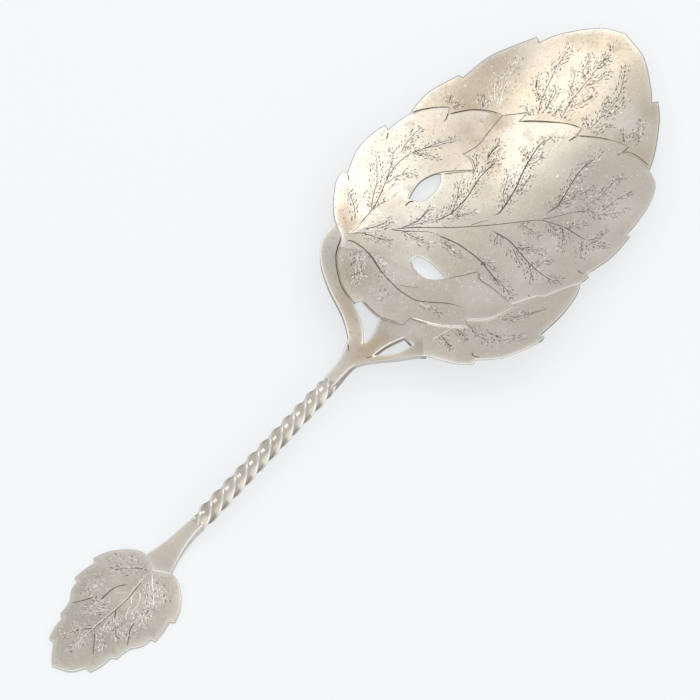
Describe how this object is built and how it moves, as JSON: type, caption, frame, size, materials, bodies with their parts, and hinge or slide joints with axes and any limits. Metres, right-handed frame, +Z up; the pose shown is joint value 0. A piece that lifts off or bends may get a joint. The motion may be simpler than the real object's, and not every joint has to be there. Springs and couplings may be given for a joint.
{
  "type": "fruit spoon",
  "caption": "Leaf-form serving spoon for fruit: lapped serrated leaves pressed to a shallow bowl, on a pierced fork, a twisted square handle and a small flat leaf at the handle's end.",
  "frame": {"origin": "under the middle of the spoon's plan, on the surface that the spoon rests on", "axes": "+X along the spoon, from the small leaf at the handle's end to the tip of the bowl; +Y to the left of the handle seen from above with the bowl ahead; +Z up, with the bowl open upwards"},
  "size_m": [0.2366, 0.0744, 0.0116],
  "materials": {
    "bowl_silver": "satin antique silver, engraved, with brown patina in the cuts",
    "fork_silver": "satin antique silver, file-marked",
    "stem_silver": "polished antique silver, worn bright on the edges",
    "terminal_silver": "satin antique silver, engraved, with brown patina in the cuts"
  },
  "bodies": {
    "root": {"back_leaf": "bowl_silver", "upper_left_leaf": "bowl_silver", "centre_leaf": "bowl_silver", "lower_left_leaf": "bowl_silver", "bottom_leaf": "bowl_silver", "fork": "fork_silver", "twisted_stem": "stem_silver", "tail_plate": "terminal_silver", "terminal_leaf": "terminal_silver"}
  },
  "joints": []
}
